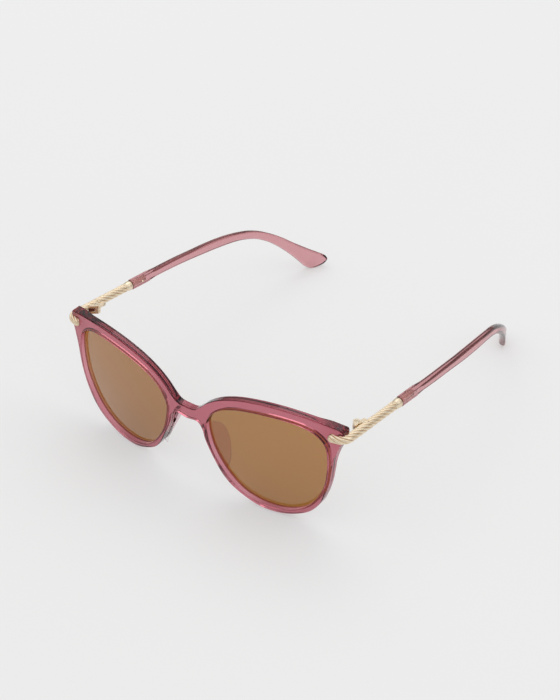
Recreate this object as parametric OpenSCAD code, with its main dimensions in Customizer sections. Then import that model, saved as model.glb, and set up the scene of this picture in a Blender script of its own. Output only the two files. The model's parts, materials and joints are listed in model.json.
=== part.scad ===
// Cat eye sunglasses, standing open on the rims and the temple tips.
// X runs across the face, the front looks towards -Y, the temples run towards +Y, Z is up.
// "left" is the wearer's left, on the +X side.

/* [Front] */
// Width of the plastic front between its two upper corners
front_width = 137; // [120:1:150]
// Thickness of the front from its face to its back
front_thickness = 3.6; // [2.5:0.1:5]
// Thickness of the two upper corners, where the trims are fastened
corner_thickness = 4.4; // [4:0.1:7]
// Radius of the sphere that the front is bent to
base_radius = 244; // [120:5:400]
// Forward lean of the front in degrees
face_tilt = 3.6; // [0:0.1:12]
// Height at which the front is upright to the temples
face_height = 22.1; // [15:0.1:35]

/* [Lenses] */
// Thickness of a lens
lens_thickness = 1.2; // [1:0.1:3]
// Depth of the lens below the face of the front
lens_depth = 1.9; // [0.5:0.1:2]
// How far the lens edge reaches into the rim
lens_seat = 0.6; // [0.3:0.1:1]
// Gap between the lens edge and its groove
lens_gap = 0.03; // [0.01:0.01:0.1]

/* [Nose pads] */
// Thickness of a nose pad
pad_thickness = 1.8; // [1.5:0.1:3]
// Depth of a nose pad behind the front
pad_depth = 8; // [6:0.5:14]
// Splay of a pad away from the nose, seen from above, in degrees
pad_splay = 10; // [5:1:40]
// Slant of a pad along the rim, in degrees from upright
pad_slant = 22; // [10:0.5:30]

/* [Rope trims and arms] */
// Distance of the rope bars from the middle of the face
rope_x = 69.9; // [60:0.1:78]
// Outer radius of the rope bars
rope_radius = 1.85; // [1.5:0.05:2.5]
// Depth of the grooves between the strands
rope_groove = 0.32; // [0.1:0.01:0.6]
// Number of strands in a rope bar
rope_strands = 7; // [3:1:8]
// Length in which a strand goes once around
rope_lay = 20.5; // [6:0.5:30]
// Radius of the bend around the corner of the front
trim_bend = 4.5; // [2.2:0.1:5]
// Depth from the face of the front to the middle of the trim, negative when it stands proud
trim_sink = 0.05; // [-1:0.05:1]
// Length of the trim's end over the face of the front, from the hinge line inwards
trim_reach = 1.9; // [0:0.1:6]
// Length of the rope arm behind the hinge pin, up to its ferrule
arm_length = 20.9; // [12:0.1:40]
// Length of the ferrule at the end of the rope arm
ferrule_length = 4.3; // [2:0.1:8]
// Radius of the ferrule's rim
ferrule_radius = 2.05; // [1.6:0.05:3]

/* [Hinges] */
// Distance of the hinge pin inside the rope bar
pin_offset = 3.1; // [2.2:0.1:5]
// Distance of the hinge pin behind the bridge
hinge_y = 22.6; // [18:0.1:32]
// Height of the hinge above the table
hinge_z = 46.95; // [40:0.05:56]
// Downward slope of the temples in degrees
droop = 6.7; // [0:0.1:12]
// Radius of a hinge knuckle
knuckle_radius = 1.7; // [1.3:0.1:2.5]
// Height of the whole hinge
hinge_height = 3.8; // [3:0.1:6]
// Height of the middle knuckle
middle_height = 1.3; // [0.8:0.1:2.5]
// Gap between knuckles
knuckle_gap = 0.1; // [0.05:0.01:0.3]
// Radius of the hinge screw
screw_radius = 0.6; // [0.4:0.05:0.8]
// Gap around the hinge screw
screw_gap = 0.04; // [0.01:0.01:0.1]
// Distance from the hinge pin back to the joint between trim and arm
joint_offset = 3; // [2:0.1:5]
// Gap in the joint between trim and arm
joint_gap = 0.15; // [0.05:0.05:0.5]

/* [Temples] */
// Thickness of the plastic temple
temple_thickness = 2.9; // [1.6:0.1:3.5]
// Width of the sleeve across the face
sleeve_width = 3.1; // [2.5:0.1:4]
// Height of the sleeve
sleeve_height = 4; // [3.6:0.1:6]
// Length of the sleeve
sleeve_length = 11.6; // [6:0.1:20]
// Radius of the tang in the sleeve
tang_radius = 0.85; // [0.5:0.05:1.1]
// Length of the tang in the sleeve
tang_length = 9.5; // [4:0.5:14]
// Radius of the pin through the sleeve
cross_pin_radius = 0.6; // [0.3:0.05:0.9]
// Distance of the pin from the mouth of the sleeve
cross_pin_at = 6.4; // [3:0.1:9]

/* [Smoothness] */
// Straight pieces between two points of an outline
curve_steps = 3; // [1:1:8]
// Rings along each millimetre of rope
rope_rings = 1.1; // [0.5:0.1:3]

/* [Hidden] */
$fn = 48;
shell_sides = 360;
nominal_width = 137;
spread = front_width / nominal_width;
origin_y = 83.6;
end_round = 1.7;
shell_y = base_radius * cos(face_tilt);
shell_z = face_height + base_radius * sin(face_tilt);
hinge_x = rope_x - pin_offset;
rope_points = 4 * rope_strands;
groove_near = lens_depth - lens_gap;
groove_far = lens_depth + lens_thickness + lens_gap;
trim_angle = asin(hinge_x / base_radius);
trim_face_y = face_depth(hinge_x, hinge_z + 1.7, trim_sink);
trim_corner_y = (trim_face_y - hinge_y) / cos(droop) + trim_bend * cos(trim_angle)
  + (pin_offset - trim_bend + trim_bend * sin(trim_angle)) * tan(trim_angle);
trim_straight_in = pin_offset - trim_bend + trim_bend * sin(trim_angle) + trim_reach + end_round;
trim_leg_in = trim_straight_in / cos(trim_angle);
trim_turn = trim_bend * (90 - trim_angle) * PI / 180;
trim_leg_out = joint_offset - trim_corner_y;
trim_length = trim_leg_in + trim_turn + trim_leg_out;
sleeve_start = arm_length + ferrule_length + 0.2;
pad_x = 11.6;
pad_z = 21.5;
corner_x = 58.5;
corner_y = 10.2;
corner_z = 44.3;
corner_cut = 55;
lug_length = 3.3;
lug_tip = 0.5;
tongue_width = 1.5;
tongue_length = 2;
tongue_depth = 1.2;
sleeve_corner = 0.4;
trim_flat = rope_radius - 0.2;
head_radius = 1.05;
head_height = 0.45;
trim_screw_radius = 0.55;
trim_screw_x = -0.6;
trim_head_radius = 1.15;
trim_head_height = 0.6;

// Right half of the front's upper edge, from the bridge to the corner
brow_points = [
  [0, 39.5], [4.4, 39.9], [7, 42], [10.8, 45.7], [16, 49.2], [23.7, 52.3], [33.2, 54.2],
  [43, 54.9], [52.9, 54.6], [61.5, 53.6], [69.1, 52.2]
];
// Right half of the front's lower edge, from the corner to the bridge
cheek_points = [
  [69.1, 47.9], [67.5, 43.7], [65.7, 37.2], [64.9, 31.4], [64, 25.4], [62, 18.2],
  [59.4, 12.2], [55.4, 7], [50.4, 3.6], [44.4, 1.2], [38.3, 0.2], [32, 0.8],
  [25.7, 3.4], [19.8, 7.4], [15.7, 12.6], [13, 17.9], [10.8, 22.6], [9, 27.2],
  [7.9, 31.6], [5.9, 34.1], [0, 33.7]
];
// Edge of the right eye opening, from its nose side over the top
opening_points = [
  [10.3, 35.5], [11.7, 39.1], [13.6, 41.8], [17.7, 45], [23.8, 47.5], [30.6, 49],
  [38, 49.9], [45.5, 50.2], [52.5, 49.7], [58, 47.8], [61.9, 44], [63.2, 37.3],
  [63, 30.2], [61.8, 23], [59.1, 16.4], [55.4, 10.7], [50.5, 6.3], [44.3, 3.5],
  [37.6, 2.6], [31, 3.4], [25.2, 5.8], [20.6, 10], [16.4, 15.6], [13.1, 21.8],
  [11, 28.8]
];
// Side outline of the plastic temple, as distance behind the bridge and height
temple_points = [
  [54, 44.6], [60, 44.5], [68.3, 43.6], [80, 42.2], [90, 40.8], [98, 39.8], [106, 38.6], [114, 37.1],
  [122, 35.1], [128, 33.2], [134, 30.4], [140, 26.7], [146, 22.4], [151, 18.2], [156, 14.1],
  [160, 11], [164, 8], [166.8, 5.7], [167.7, 3.6], [166.4, 1.5], [164, 0.4], [161.5, 0],
  [159.6, 0.4], [158, 1.7], [155.8, 4.6], [152, 9.4], [148, 13.9], [144, 17.9], [139.7, 21.7],
  [135.3, 24.9], [130.5, 27.7], [125, 29.9], [119, 31.6], [112, 32.9], [104, 34.2], [95, 35.6],
  [88, 36.8], [80, 38], [68.3, 39.6], [60, 40.7], [54, 41.9]
];
// Line of the plastic temple seen from above, as distance across and distance behind the bridge
ribbon_points = [
  [69.9, 56], [70, 70], [69.6, 86], [69.1, 98], [68.2, 110], [67, 120],
  [65.6, 128], [63.9, 136], [61.9, 143], [59.4, 150], [56.6, 156], [53.2, 162],
  [49, 169]
];
// Outline of a nose pad, as depth behind the front and distance along the rim
pad_points = [
  [-0.4, -11.5], [0.2, -10.5], [0.6, -7.5], [0.8, -3.5], [1, 0.5], [1, 4.5], [0.8, 8],
  [0.5, 10.6], [0, 12], [-0.4, 12.2]
];

// Depth from the bridge to the bent front at a place across and up, below its face by "depth"
function face_depth(x, z, depth) =
  shell_y - sqrt(pow(base_radius - depth, 2) - x * x - pow(z - shell_z, 2));

function mix(a, b, t) = a * (1 - t) + b * t;

function knot(a, b) = sqrt(norm(b - a));

// Point on the smooth curve between b and c, with a and d as neighbours
function curve_point(a, b, c, d, u) =
  let(t1 = knot(a, b))
  let(t2 = t1 + knot(b, c))
  let(t3 = t2 + knot(c, d))
  let(t = mix(t1, t2, u))
  let(ab = mix(a, b, t / t1))
  let(bc = mix(b, c, (t - t1) / (t2 - t1)))
  let(cd = mix(c, d, (t - t2) / (t3 - t2)))
  let(abc = mix(ab, bc, t / t2))
  let(bcd = mix(bc, cd, (t - t1) / (t3 - t1)))
  mix(abc, bcd, u);

// Smooth curve through the points, with one more point given beyond each end
function open_curve(before, points, after) =
  let(all = concat([before], points, [after]))
  let(spans = len(points) - 1)
  concat(
    [for (i = [0:spans - 1], s = [0:curve_steps - 1])
      curve_point(all[i], all[i + 1], all[i + 2], all[i + 3], s / curve_steps)],
    [points[spans]]
  );

// Smooth closed curve through the points
function closed_curve(points) =
  let(n = len(points))
  [for (i = [0:n - 1], s = [0:curve_steps - 1])
    curve_point(points[(i + n - 1) % n], points[i], points[(i + 1) % n], points[(i + 2) % n],
      s / curve_steps)];

// Clockwise outline moved outwards
function grown(points, by) =
  let(n = len(points))
  [for (i = [0:n - 1])
    let(along = points[(i + 1) % n] - points[(i + n - 1) % n])
    points[i] + by * [-along.y, along.x] / norm(along)];

function widened(points) = [for (p = points) [p.x * spread, p.y]];

function flipped(points) = [for (p = points) [-p.x, p.y]];

function backwards(points) = [for (i = [len(points) - 1:-1:0]) points[i]];

function beyond(points) = 2 * points[len(points) - 1] - points[len(points) - 2];

function across(p) = [-p.x, p.y];

// Half of the front's outline, from the top of the bridge to its underside
function half_front() =
  let(brow = widened(brow_points))
  let(cheek = widened(cheek_points))
  let(last = len(cheek) - 1)
  concat(
    open_curve(across(brow[1]), brow, beyond(brow)),
    open_curve(2 * cheek[0] - cheek[1], cheek, across(cheek[last - 1]))
  );

function front_outline() =
  let(half = half_front())
  let(last = len(half) - 1)
  concat(half, backwards(flipped([for (i = [1:last - 1]) half[i]])));

function opening() = closed_curve(widened(opening_points));

// Line of points moved sideways, for the two faces of a ribbon
function beside(points, by) =
  let(last = len(points) - 1)
  [for (i = [0:last])
    let(along = points[min(i + 1, last)] - points[max(i - 1, 0)])
    points[i] + by * [-along.y, along.x] / norm(along)];

// Place and heading at a distance along the trim's path, from the end on the face
function trim_at(d) =
  let(bend_x = pin_offset - trim_bend)
  let(start = [bend_x + trim_bend * sin(trim_angle), trim_corner_y - trim_bend * cos(trim_angle)])
  d < trim_leg_in
    ? [start.x - (trim_leg_in - d) * cos(trim_angle), start.y - (trim_leg_in - d) * sin(trim_angle),
      trim_angle]
    : d < trim_leg_in + trim_turn
      ? let(heading = trim_angle + (d - trim_leg_in) / trim_bend * 180 / PI)
        [bend_x + trim_bend * sin(heading), trim_corner_y - trim_bend * cos(heading), heading]
      : [pin_offset, trim_corner_y + d - trim_leg_in - trim_turn, 90];

function arm_at(d) = [pin_offset, joint_offset + joint_gap + d, 90];

// Radius of the rope's lobed section at a share of the way round one strand
function lobe(share) = rope_radius - rope_groove * pow(1 - sin(180 * share), 2);

// Share of the full radius at a distance from the rope's rounded end
function rounding(d) = sqrt(1 - pow(1 - min(d / end_round, 1), 2));

// One ring of the rope, around a place [x, y, heading], with its strands turned by an angle
function rope_ring(place, turned, share) =
  [for (k = [0:rope_points - 1])
    let(angle = 360 * k / rope_points + turned)
    let(r = lobe((k % 4) / 4) * share)
    [place.x + r * cos(angle) * sin(place.z), place.y - r * cos(angle) * cos(place.z),
      r * sin(angle)]];

// Twisted bar through the places. Both sides are twisted the same way, so the hand turns it back.
module rope(hand, places, distances, shares) {
  rings = len(places);
  n = rope_points;
  points = [for (i = [0:rings - 1])
    each rope_ring(places[i], -hand * 360 * distances[i] / rope_lay, shares[i])];
  sides = [for (i = [0:rings - 2], k = [0:n - 1])
    let(a = i * n + k)
    let(b = i * n + (k + 1) % n)
    each [[a, b, b + n], [a, b + n, a + n]]];
  start = [[for (k = [n - 1:-1:0]) k]];
  end = [[for (k = [0:n - 1]) (rings - 1) * n + k]];
  polyhedron(points = points, faces = concat(sides, start, end), convexity = 6);
}

// Moves the part so that the middle of its footprint is the origin
module stand() {
  translate([0, -origin_y, 0]) children();
}

// Puts a piece of the left side in place, or its mirror image for the right side
module side(hand) {
  stand() mirror([hand < 0 ? 1 : 0, 0, 0]) children();
}

// Left hinge's own frame: origin on the pin, +Y along the temple, +Z up the pin
module at_hinge() {
  translate([hinge_x, hinge_y, hinge_z]) rotate([-droop, 0, 0]) children();
}

// Extrudes a drawing of the front, x across and y up, from near to far
module through(near, far) {
  translate([0, far, 0]) rotate([90, 0, 0]) linear_extrude(far - near) children();
}

// Space between two depths below the face of the bent front
module shell(near, far) {
  translate([0, shell_y, shell_z]) difference() {
    sphere(r = base_radius - near, $fn = shell_sides);
    sphere(r = base_radius - far, $fn = shell_sides);
  }
}

module front_slab(near, far) {
  intersection() {
    through(-12, 40) polygon(front_outline());
    shell(near, far);
  }
}

// Thick back of the left corner, cut off by a slanted face
module corner_back() {
  intersection() {
    front_slab(front_thickness - 0.5, corner_thickness);
    translate([corner_x * spread, corner_y, corner_z]) rotate([0, 0, -corner_cut])
      translate([0, -12, 0]) cube([20, 40, 16]);
  }
}

// Round channels for the two legs of the left trim and the bend between them
module trim_channel(radius) {
  run_out = 8;
  place = trim_at(end_round);
  at_hinge() {
    translate([place.x, place.y, 0]) sphere(r = radius - 0.03);
    translate([place.x, place.y, 0]) rotate([0, 90, trim_angle])
      cylinder(r = radius, h = trim_leg_in - end_round + run_out);
    for (share = [0.25, 0.5, 0.75])
      let(bend = trim_at(trim_leg_in + trim_turn * share))
        translate([bend.x, bend.y, 0]) sphere(r = radius + 0.1);
    translate([pin_offset, trim_corner_y - run_out, 0]) rotate([-90, 0, 0])
      cylinder(r = radius + 0.03, h = trim_leg_out + run_out);
  }
}

// Place of the left trim screw: origin under its head, pointing at the trim
module at_trim_screw() {
  seat = face_depth(hinge_x, hinge_z + 1.5, corner_thickness) - hinge_y;
  at_hinge() translate([trim_screw_x, seat - trim_head_height, 0]) rotate([90, 0, 0]) children();
}

module trim_screw_hole() {
  at_trim_screw() {
    cylinder(r = trim_screw_radius + 0.03, h = 4.5);
    translate([0, 0, -4]) cylinder(r = trim_head_radius + 0.05, h = 4);
  }
}

module frame_front() {
  color([0.72, 0.4, 0.47]) stand() difference() {
    union() {
      front_slab(0, front_thickness);
      corner_back();
      mirror([1, 0, 0]) corner_back();
    }
    for (turn = [0, 1]) mirror([turn, 0, 0]) {
      through(-12, 40) polygon(opening());
      intersection() {
        through(-12, 40) polygon(grown(opening(), lens_seat));
        shell(groove_near, groove_far);
      }
      trim_channel(rope_radius + 0.05);
      trim_screw_hole();
    }
  }
}

module lens(hand) {
  color([0.62, 0.44, 0.28]) side(hand) intersection() {
    through(-12, 40) polygon(grown(opening(), lens_seat - lens_gap));
    shell(lens_depth, lens_depth + lens_thickness);
  }
}

module nose_pad(hand) {
  middle = [pad_x * spread, pad_z];
  outline = [for (p = pad_points) [p.x < 0 ? -2 : p.x * pad_depth, p.y]];
  curve = open_curve(2 * outline[0] - outline[1], outline, beyond(outline));
  color([0.85, 0.55, 0.6]) side(hand) intersection() {
    translate([middle.x, face_depth(middle.x, middle.y, front_thickness), middle.y])
      rotate([0, -pad_slant, 0]) rotate([0, 0, -pad_splay]) translate([-pad_thickness / 2, 0, 0])
      rotate([90, 0, 90]) linear_extrude(pad_thickness) polygon(curve);
    translate([0, shell_y, shell_z]) sphere(r = base_radius - front_thickness - 0.02, $fn = shell_sides);
  }
}

module corner_trim(hand) {
  rest = trim_length - end_round;
  rings = ceil(rest * rope_rings);
  distances = concat(
    [for (i = [1:5]) end_round * (1 - cos(90 * i / 6))],
    [for (i = [0:rings]) end_round + rest * i / rings]
  );
  shares = [for (d = distances) rounding(d)];
  color([0.86, 0.74, 0.5]) side(hand) difference() {
    at_hinge() rope(hand, [for (d = distances) trim_at(d)], distances, shares);
    at_hinge() {
      translate([pin_offset - trim_flat - 4, -lug_length - 0.1, -hinge_height])
        cube([4, lug_length + joint_offset + 1, hinge_height * 2]);
      translate([0, 0, -hinge_height]) cylinder(r = knuckle_radius + 0.05, h = 2 * hinge_height);
      translate([0, 0, -middle_height / 2 - knuckle_gap])
        cylinder(r = knuckle_radius + 0.2, h = middle_height + 2 * knuckle_gap);
    }
    at_trim_screw() cylinder(r = trim_screw_radius + 0.03, h = 4.5);
  }
}

module trim_screw(hand) {
  color([0.8, 0.68, 0.45]) side(hand) at_trim_screw() {
    cylinder(r = trim_screw_radius, h = 4.4);
    difference() {
      translate([0, 0, -trim_head_height]) cylinder(r = trim_head_radius, h = trim_head_height);
      translate([0, 0, -trim_head_height]) cube([0.3, 1.5, 0.5], center = true);
    }
  }
}

// Two knuckles on a lug that tapers forwards along the flat of the trim
module front_hinge(hand) {
  flat_x = pin_offset - trim_flat - 0.02;
  lug = [
    [flat_x, -lug_length], [flat_x - lug_tip, -lug_length],
    [-knuckle_radius * cos(25), -knuckle_radius * sin(25)], [0, 0], [flat_x, 0]
  ];
  color([0.84, 0.7, 0.46]) side(hand) at_hinge() difference() {
    union() {
      translate([0, 0, -hinge_height / 2]) cylinder(r = knuckle_radius, h = hinge_height);
      translate([0, 0, -hinge_height / 2]) linear_extrude(hinge_height) polygon(lug);
    }
    translate([0, 0, -middle_height / 2 - knuckle_gap])
      cylinder(r = knuckle_radius + 0.2, h = middle_height + 2 * knuckle_gap);
    translate([0, 0, -hinge_height]) cylinder(r = screw_radius + 0.02, h = 2 * hinge_height);
    translate([0, 0, hinge_height / 2 - head_height]) cylinder(r = head_radius + 0.03, h = 2);
  }
}

module hinge_screw(hand) {
  color([0.78, 0.66, 0.42]) side(hand) at_hinge() difference() {
    union() {
      translate([0, 0, -hinge_height / 2]) cylinder(r = screw_radius, h = hinge_height);
      translate([0, 0, hinge_height / 2 - head_height + 0.02]) cylinder(r = head_radius, h = head_height);
    }
    translate([0, 0, hinge_height / 2]) cube([0.3, 1.5, 0.5], center = true);
  }
}

// Side of the tongue that is let into the end of the rope arm
module tongue_end(gap) {
  translate([0, joint_offset + joint_gap + 0.2 - gap, -middle_height / 2 - gap])
    cube([pin_offset - rope_radius + tongue_depth + gap, tongue_length + 2 * gap, middle_height + 2 * gap]);
}

// Middle knuckle with its tongue
module temple_hinge(hand) {
  inner_x = pin_offset - trim_flat - 0.3;
  color([0.84, 0.7, 0.46]) side(hand) at_hinge() difference() {
    union() {
      translate([0, 0, -middle_height / 2]) cylinder(r = knuckle_radius, h = middle_height);
      translate([inner_x - tongue_width, 0, -middle_height / 2])
        cube([tongue_width, joint_offset + joint_gap + 0.2 + tongue_length, middle_height]);
      tongue_end(0);
    }
    translate([0, 0, -middle_height]) cylinder(r = screw_radius + screw_gap, h = 2 * middle_height);
  }
}

module rope_arm(hand) {
  start = joint_offset + joint_gap;
  twisted = arm_length - start + 0.5;
  rings = ceil(twisted * rope_rings);
  distances = [for (i = [0:rings]) twisted * i / rings];
  color([0.86, 0.74, 0.5]) side(hand) at_hinge() difference() {
    union() {
      rope(hand, [for (d = distances) arm_at(d)], distances, [for (d = distances) 1]);
      translate([pin_offset, arm_length, 0]) rotate([-90, 0, 0]) {
        cylinder(r1 = rope_radius + 0.03, r2 = ferrule_radius, h = ferrule_length - 1);
        translate([0, 0, ferrule_length - 1]) cylinder(r = ferrule_radius, h = 1);
        cylinder(r = tang_radius, h = ferrule_length + tang_length);
      }
    }
    tongue_end(0.02);
    translate([0, sleeve_start + cross_pin_at, 0]) rotate([0, 90, 0])
      cylinder(r = cross_pin_radius + 0.02, h = 10);
  }
}

// Cross section of the sleeve, with round corners
module sleeve_section() {
  side_x = sleeve_width / 2 - sleeve_corner;
  side_y = sleeve_height / 2 - sleeve_corner;
  square([2 * side_x, sleeve_height], center = true);
  square([sleeve_width, 2 * side_y], center = true);
  for (x = [-side_x, side_x], y = [-side_y, side_y]) translate([x, y]) circle(r = sleeve_corner);
}

module temple_tip(hand) {
  line = open_curve(2 * ribbon_points[0] - ribbon_points[1], ribbon_points, beyond(ribbon_points));
  ribbon = concat(beside(line, temple_thickness / 2), backwards(beside(line, -temple_thickness / 2)));
  color([0.74, 0.42, 0.49]) side(hand) difference() {
    union() {
      intersection() {
        linear_extrude(70) polygon(ribbon);
        rotate([90, 0, 90]) linear_extrude(90) polygon(closed_curve(temple_points));
      }
      at_hinge() translate([pin_offset, sleeve_start, 0]) rotate([-90, 0, 0])
        linear_extrude(sleeve_length) sleeve_section();
    }
    at_hinge() {
      translate([pin_offset, sleeve_start - 1, 0]) rotate([-90, 0, 0])
        cylinder(r = tang_radius + 0.03, h = tang_length + 1.3);
      translate([0, sleeve_start + cross_pin_at, 0]) rotate([0, 90, 0])
        cylinder(r = cross_pin_radius + 0.02, h = pin_offset + 0.9);
    }
  }
}

module tang_pin(hand) {
  color([0.8, 0.7, 0.5]) side(hand) at_hinge()
    translate([pin_offset - sleeve_width / 2 - 0.1, sleeve_start + cross_pin_at, 0])
    rotate([0, 90, 0]) cylinder(r = cross_pin_radius, h = sleeve_width / 2 + 0.9);
}

frame_front();
lens(1);  // lens_left
lens(-1);  // lens_right
nose_pad(1);  // nose_pad_left
nose_pad(-1);  // nose_pad_right
corner_trim(1);  // corner_trim_left
corner_trim(-1);  // corner_trim_right
trim_screw(1);  // trim_screw_left
trim_screw(-1);  // trim_screw_right
front_hinge(1);  // front_hinge_left
front_hinge(-1);  // front_hinge_right
hinge_screw(1);  // hinge_screw_left
hinge_screw(-1);  // hinge_screw_right
temple_hinge(1);  // temple_hinge_left
temple_hinge(-1);  // temple_hinge_right
rope_arm(1);  // rope_arm_left
rope_arm(-1);  // rope_arm_right
temple_tip(1);  // temple_tip_left
temple_tip(-1);  // temple_tip_right
tang_pin(1);  // tang_pin_left
tang_pin(-1);  // tang_pin_right
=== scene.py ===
import json
import math

import bpy
import numpy as np
from mathutils import Matrix, Vector
from mathutils.geometry import delaunay_2d_cdt


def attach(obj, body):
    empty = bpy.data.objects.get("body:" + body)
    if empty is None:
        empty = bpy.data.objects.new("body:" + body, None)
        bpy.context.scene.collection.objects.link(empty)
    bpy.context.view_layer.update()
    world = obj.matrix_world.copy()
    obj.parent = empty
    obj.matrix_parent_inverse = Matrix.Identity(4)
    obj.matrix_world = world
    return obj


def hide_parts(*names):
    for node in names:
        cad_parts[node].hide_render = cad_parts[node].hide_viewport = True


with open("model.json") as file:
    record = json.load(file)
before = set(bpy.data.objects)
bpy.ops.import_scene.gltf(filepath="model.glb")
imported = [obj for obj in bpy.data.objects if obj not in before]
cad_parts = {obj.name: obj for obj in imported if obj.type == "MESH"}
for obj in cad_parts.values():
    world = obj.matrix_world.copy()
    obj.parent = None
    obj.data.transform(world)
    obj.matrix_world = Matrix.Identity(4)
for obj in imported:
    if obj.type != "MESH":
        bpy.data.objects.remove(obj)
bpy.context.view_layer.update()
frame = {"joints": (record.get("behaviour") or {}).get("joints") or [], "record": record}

# Cat eye sunglasses. Lengths are in millimetres until a mesh is made.
# X runs across the face, the front looks towards -Y, the temples run towards +Y, Z is up.
MM = 0.001
BODY_OF = {n: b for b, nodes in frame["record"]["behaviour"]["bodies"].items() for n in nodes}
JOINT = {j["child"]: j for j in frame["joints"]}["temple_left"]
HINGE = np.array(JOINT["pos_m"]) / MM
DROOP = math.degrees(math.asin(JOINT["axis"][1]))

# Front
BASE_RADIUS = 244
FACE_TILT = math.radians(3.6)
FACE_HEIGHT = 22.1
FRONT_THICKNESS = 3.6
CORNER_THICKNESS = 4.4
BRIDGE_Y = -83.6
SHELL_Y = BRIDGE_Y + BASE_RADIUS * math.cos(FACE_TILT)
SHELL_Z = FACE_HEIGHT + BASE_RADIUS * math.sin(FACE_TILT)
LENS_DEPTH = 1.9
LENS_THICKNESS = 1.2
LENS_SEAT = 0.6
LENS_GAP = 0.03

# Nose pads
PAD_THICKNESS = 1.8
PAD_DEPTH = 8
PAD_SPLAY = math.radians(10)
PAD_SLANT = math.radians(22)
PAD_MIDDLE = (11.6, 21.5)
PAD_BOWL = 0.010
PAD_SEAT = 0.02

# Rope trims, rope arms and what follows them, in the hinge's own frame
ROPE_X = 3.1
ROPE_RADIUS = 1.85
ROPE_GROOVE = 0.32
ROPE_STRANDS = 7
ROPE_LAY = 20.5
TRIM_BEND = 4.5
TRIM_SINK = 0.05
TRIM_REACH = 1.9
END_ROUND = 1.7
CUT_END_SHARE = 0.94
CUT_END_LENGTH = 0.12
ARM_LENGTH = 20.9
FERRULE_LENGTH = 4.3
FERRULE_RADIUS = 2.05
FERRULE_NECK = 1.84
# Ends of the darker ring of painted shade at the mouth of the sleeve, along the ferrule
SHADE_RING_BACK = -0.45
SHADE_RING_FRONT = 0.14
TANG_RADIUS = 0.85
TANG_LENGTH = 9.5
PIN_AT = 6.4
PIN_RADIUS = 0.6

# Hinges
KNUCKLE_RADIUS = 1.7
HINGE_HEIGHT = 3.8
MIDDLE_HEIGHT = 1.3
KNUCKLE_GAP = 0.1
SCREW_RADIUS = 0.6
HEAD_RADIUS = 1.05
HEAD_HEIGHT = 0.45
SLOT_WIDTH = 0.32
SLOT_DEPTH = 0.2
TRIM_SCREW_X = -0.6
TRIM_SCREW_RADIUS = 0.55
TRIM_SCREW_LENGTH = 4.4
TRIM_HEAD_RADIUS = 1.15
TRIM_HEAD_HEIGHT = 0.6
TRIM_SLOT_DEPTH = 0.25
JOINT_OFFSET = 3
JOINT_GAP = 0.15
LUG_LENGTH = 3.3
LUG_TIP = 0.5
TONGUE_WIDTH = 1.5
TONGUE_LENGTH = 2
TONGUE_DEPTH = 1.2
FLAT_X = ROPE_X - ROPE_RADIUS + 0.2
LUG_GAP = 0.02
FACE_ALONG = Matrix.Rotation(math.radians(-90), 4, "X")
FACE_ACROSS = Matrix.Rotation(math.radians(90), 4, "Y")

# Temples
TEMPLE_THICKNESS = 2.9
SLEEVE_WIDTH = 3.1
SLEEVE_HEIGHT = 4
SLEEVE_LENGTH = 11.6
SLEEVE_START = ARM_LENGTH + FERRULE_LENGTH + 0.2

STEPS = 8

# Camera, in millimetres and as directions
CAMERA_PLACE = Vector((347.63, -489.05, 452.9))
CAMERA_RIGHT = Vector((0.8033, 0.5956, -0.0007))
CAMERA_AHEAD = Vector((-0.4827, 0.6503, -0.5867))
CAMERA_LENS = 87.0
CAMERA_SENSOR = 36

# Half outlines of the front, as (across, up)
BROW = [
    (0, 39.5), (4.4, 39.9), (7, 42), (10.8, 45.7), (16, 49.2), (23.7, 52.3), (33.2, 54.2),
    (43, 54.9), (52.9, 54.6), (61.5, 53.6), (69.1, 52.2),
]
CHEEK = [
    (69.1, 47.9), (67.5, 43.7), (65.7, 37.2), (64.9, 31.4), (64, 25.4), (62, 18.2),
    (59.4, 12.2), (55.4, 7), (50.4, 3.6), (44.4, 1.2), (38.3, 0.2), (32, 0.8),
    (25.7, 3.4), (19.8, 7.4), (15.7, 12.6), (13, 17.9), (10.8, 22.6), (9, 27.2),
    (7.9, 31.6), (5.9, 34.1), (0, 33.7),
]
OPENING = [
    (10.3, 35.5), (11.7, 39.1), (13.6, 41.8), (17.7, 45), (23.8, 47.5), (30.6, 49),
    (38, 49.9), (45.5, 50.2), (52.5, 49.7), (58, 47.8), (61.9, 44), (63.2, 37.3),
    (63, 30.2), (61.8, 23), (59.1, 16.4), (55.4, 10.7), (50.5, 6.3), (44.3, 3.5),
    (37.6, 2.6), (31, 3.4), (25.2, 5.8), (20.6, 10), (16.4, 15.6), (13.1, 21.8),
    (11, 28.8),
]

# Side outline of the temple, as (behind the bridge, up)
TEMPLE = [
    (54, 44.6), (60, 44.5), (68.3, 43.6), (80, 42.2), (90, 40.8), (98, 39.8), (106, 38.6),
    (114, 37.1),
    (122, 35.1), (128, 33.2), (134, 30.4), (140, 26.7), (146, 22.4), (151, 18.2), (156, 14.1),
    (160, 11), (164, 8), (166.8, 5.7), (167.7, 3.6), (166.4, 1.5), (164, 0.4), (161.5, 0),
    (159.6, 0.4), (158, 1.7), (155.8, 4.6), (152, 9.4), (148, 13.9), (144, 17.9), (139.7, 21.7),
    (135.3, 24.9), (130.5, 27.7), (125, 29.9), (119, 31.6), (112, 32.9), (104, 34.2), (95, 35.6),
    (88, 36.8), (80, 38), (68.3, 39.6), (60, 40.7), (54, 41.9),
]

# The temple seen from above, as (across, behind the bridge)
RIBBON = [
    (69.9, 56), (70, 70), (69.6, 86), (69.1, 98), (68.2, 110), (67, 120),
    (65.6, 128), (63.9, 136), (61.9, 143), (59.4, 150), (56.6, 156), (53.2, 162),
    (49, 169),
]

# Outline of a pad, as (share of its depth, along the rim)
PAD = [
    (-0.05, -11.8), (0.2, -10.5), (0.6, -7.5), (0.85, -3.5), (1, 0.5), (0.97, 4.5), (0.8, 8),
    (0.45, 10.6), (-0.05, 12.2),
]


# ---------------------------------------------------------------- curves and outlines

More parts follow.
